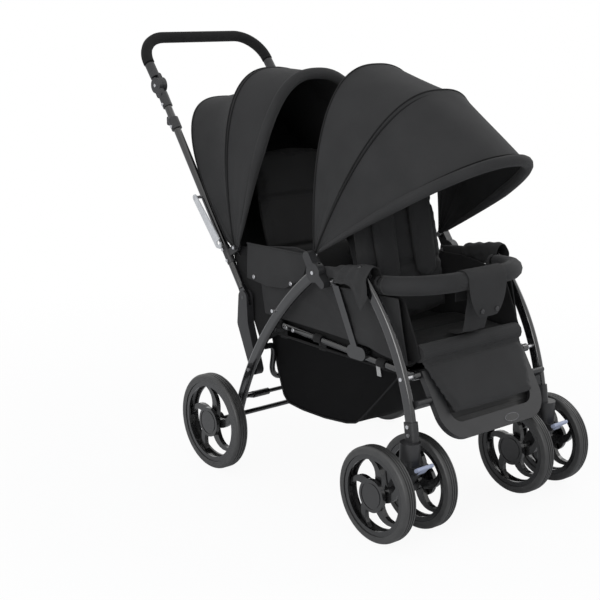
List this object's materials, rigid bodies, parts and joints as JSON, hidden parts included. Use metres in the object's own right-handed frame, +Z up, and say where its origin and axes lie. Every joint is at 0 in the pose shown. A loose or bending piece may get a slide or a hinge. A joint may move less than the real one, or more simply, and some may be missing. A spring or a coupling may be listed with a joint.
{
  "type": "tandem stroller",
  "caption": "Folding tandem pram with seats in line, two hoods, storage basket, tilting push handle, swivelling twin castors in front and brake bar behind.",
  "frame": {"origin": "middle of the bounding box's bottom face, on the floor", "axes": "+X forward, +Y to the rider's left, +Z up"},
  "size_m": [1.1544, 0.603, 1.0262],
  "materials": {
    "paint": "satin black paint",
    "steel": "bright zinc",
    "plastic": "dark grey moulded plastic",
    "cloth": "dark charcoal woven polyester",
    "mesh": "black mesh cloth",
    "tyre": "matte dark grey",
    "foam": "black foam",
    "pale": "light grey",
    "lever": "blue grey"
  },
  "bodies": {
    "rear_frame": {"rear_leg_right": "paint", "rear_leg_left": "paint", "hubs": "plastic", "rear_axle": "steel", "rear_cross_tube": "paint", "rear_studs": "steel", "front_canopy_rear": "cloth"},
    "brake": {"brake_bar": "paint"},
    "rear_wheel_right": {"rear_tyre_right": "tyre", "rear_rim_right": "plastic"},
    "rear_wheel_left": {"rear_tyre_left": "tyre", "rear_rim_left": "plastic"},
    "fold_links": {"fold_shoes": "plastic"},
    "push_frame": {"push_tube_right": "paint", "push_tube_left": "paint", "collars": "plastic", "canopy_ears": "plastic", "lower_sleeves": "plastic", "push_rivets": "steel", "rear_canopy_back": "cloth", "rear_curtain": "cloth"},
    "rear_hood": {"rear_canopy_front": "cloth"},
    "hook": {"fold_hook": "pale"},
    "handle": {"handle_bar": "paint", "handle_foam": "foam", "upper_sleeves": "plastic"},
    "button_right": {"handle_button_right": "plastic"},
    "button_left": {"handle_button_left": "plastic"},
    "arms": {"arm_right": "cloth", "arm_left": "cloth"},
    "front_frame": {"front_leg_right": "paint", "front_leg_left": "paint", "caster_sockets": "plastic", "footboard": "plastic", "front_rivets": "steel"},
    "caster_right": {"caster_right": "plastic"},
    "caster_left": {"caster_left": "plastic"},
    "lever_right": {"swivel_lever_right": "lever"},
    "lever_left": {"swivel_lever_left": "lever"},
    "front_wheel_right_outer": {"front_tyre_right_outer": "tyre", "front_rim_right_outer": "plastic"},
    "front_wheel_right_inner": {"front_tyre_right_inner": "tyre", "front_rim_right_inner": "plastic"},
    "front_wheel_left_outer": {"front_tyre_left_outer": "tyre", "front_rim_left_outer": "plastic"},
    "front_wheel_left_inner": {"front_tyre_left_inner": "tyre", "front_rim_left_inner": "plastic"},
    "seat_frame": {"rail_right": "paint", "rail_left": "paint", "struts": "paint", "seat_front": "cloth", "seat_rear": "cloth", "basket": "mesh"},
    "front_back": {"backrest_front": "cloth", "harness_front": "foam"},
    "rear_back": {"backrest_rear": "cloth"},
    "visor": {"front_canopy_visor": "cloth"},
    "bumper": {"bumper_bar": "cloth", "crotch_flap": "cloth"},
    "calf": {"calf_rest": "cloth"}
  },
  "joints": [
    {"name": "fold", "type": "hinge", "parent": "rear_frame", "child": "fold_links", "pos_m": [-0.07384, 0, 0.24299], "axis": [0, -1, 0], "range_deg": [0, 66], "deforming": ["seat_front", "seat_rear", "basket", "backrest_front", "backrest_rear", "harness_front", "crotch_flap", "calf_rest", "front_canopy_rear", "front_canopy_visor", "rear_canopy_back", "rear_canopy_front", "rear_curtain"]},
    {"name": "fold_push", "type": "hinge", "parent": "fold_links", "child": "push_frame", "pos_m": [-0.1151, 0, 0.412], "axis": [0, 1, 0], "range_deg": [0, 139.01]},
    {"name": "fold_arm", "type": "hinge", "parent": "rear_frame", "child": "arms", "pos_m": [0.1687, 0, 0.522], "axis": [0, -1, 0], "range_deg": [0, 38.01]},
    {"name": "fold_front", "type": "hinge", "parent": "arms", "child": "front_frame", "pos_m": [0.3162, 0, 0.5347], "axis": [0, 1, 0], "range_deg": [0, 81.01]},
    {"name": "fold_seat", "type": "hinge", "parent": "front_frame", "child": "seat_frame", "pos_m": [0.4438, 0, 0.34002], "axis": [0, -1, 0], "range_deg": [0, 43.01]},
    {"name": "fold_hook_swing", "type": "hinge", "parent": "push_frame", "child": "hook", "pos_m": [-0.27831, -0.22, 0.63581], "axis": [0, -1, 0], "range_deg": [0, 80.24]},
    {"name": "handle_tilt", "type": "hinge", "parent": "push_frame", "child": "handle", "pos_m": [-0.46862, 0, 0.89679], "axis": [0, 1, 0], "range_deg": [-45, 45]},
    {"name": "handle_button_right_press", "type": "slide", "parent": "handle", "child": "button_right", "axis": [0, -1, 0], "range_m": [0, 0.003], "stiffness_N_per_m": 60, "springref_m": -0.0005},
    {"name": "handle_button_left_press", "type": "slide", "parent": "handle", "child": "button_left", "axis": [0, 1, 0], "range_m": [0, 0.003], "stiffness_N_per_m": 60, "springref_m": -0.0005},
    {"name": "brake_press", "type": "hinge", "parent": "rear_frame", "child": "brake", "pos_m": [-0.10905, 0, 0.16426], "axis": [0, -1, 0], "range_deg": [0, 18]},
    {"name": "rear_wheel_right_spin", "type": "hinge", "parent": "rear_frame", "child": "rear_wheel_right", "pos_m": [-0.1257, -0.2825, 0.116], "axis": [0, 1, 0], "continuous": true},
    {"name": "rear_wheel_left_spin", "type": "hinge", "parent": "rear_frame", "child": "rear_wheel_left", "pos_m": [-0.1257, 0.2825, 0.116], "axis": [0, 1, 0], "continuous": true},
    {"name": "caster_right_swivel", "type": "hinge", "parent": "front_frame", "child": "caster_right", "pos_m": [0.4783, -0.2173, 0.176], "axis": [0, 0, 1], "continuous": true},
    {"name": "swivel_lever_right_flip", "type": "hinge", "parent": "caster_right", "child": "lever_right", "pos_m": [0.5073, -0.2173, 0.158], "axis": [0, 1, 0], "range_deg": [0, 35]},
    {"name": "front_wheel_right_outer_spin", "type": "hinge", "parent": "caster_right", "child": "front_wheel_right_outer", "pos_m": [0.4457, -0.2786, 0.1045], "axis": [0, 1, 0], "continuous": true},
    {"name": "front_wheel_right_inner_spin", "type": "hinge", "parent": "caster_right", "child": "front_wheel_right_inner", "pos_m": [0.4457, -0.156, 0.1045], "axis": [0, 1, 0], "continuous": true},
    {"name": "caster_left_swivel", "type": "hinge", "parent": "front_frame", "child": "caster_left", "pos_m": [0.4783, 0.2173, 0.176], "axis": [0, 0, 1], "continuous": true},
    {"name": "swivel_lever_left_flip", "type": "hinge", "parent": "caster_left", "child": "lever_left", "pos_m": [0.5073, 0.2173, 0.158], "axis": [0, 1, 0], "range_deg": [0, 35]},
    {"name": "front_wheel_left_outer_spin", "type": "hinge", "parent": "caster_left", "child": "front_wheel_left_outer", "pos_m": [0.4457, 0.2786, 0.1045], "axis": [0, 1, 0], "continuous": true},
    {"name": "front_wheel_left_inner_spin", "type": "hinge", "parent": "caster_left", "child": "front_wheel_left_inner", "pos_m": [0.4457, 0.156, 0.1045], "axis": [0, 1, 0], "continuous": true},
    {"name": "visor_close", "type": "hinge", "parent": "rear_frame", "child": "visor", "pos_m": [0.1463, 0, 0.556], "axis": [0, -1, 0], "range_deg": [0, 30]},
    {"name": "rear_hood_close", "type": "hinge", "parent": "push_frame", "child": "rear_hood", "pos_m": [-0.15072, 0, 0.52797], "axis": [0, -1, 0], "range_deg": [0, 22]},
    {"name": "front_recline", "type": "hinge", "parent": "seat_frame", "child": "front_back", "pos_m": [0.2423, 0, 0.3925], "axis": [0, -1, 0], "range_deg": [0, 28]},
    {"name": "rear_recline", "type": "hinge", "parent": "seat_frame", "child": "rear_back", "pos_m": [-0.0647, 0, 0.3919], "axis": [0, -1, 0], "range_deg": [0, 20]},
    {"name": "bumper_lift", "type": "hinge", "parent": "arms", "child": "bumper", "pos_m": [0.3372, 0, 0.5177], "axis": [0, -1, 0], "range_deg": [0, 70]},
    {"name": "calf_lift", "type": "hinge", "parent": "seat_frame", "child": "calf", "pos_m": [0.4428, 0, 0.36902], "axis": [0, -1, 0], "range_deg": [0, 55]}
  ],
  "couplings": [
    {"joint": "fold_push", "follows": "fold", "ratio": 2.1061},
    {"joint": "fold_arm", "follows": "fold", "ratio": 0.57576},
    {"joint": "fold_front", "follows": "fold", "ratio": 1.2273},
    {"joint": "fold_seat", "follows": "fold", "ratio": 0.65151}
  ]
}
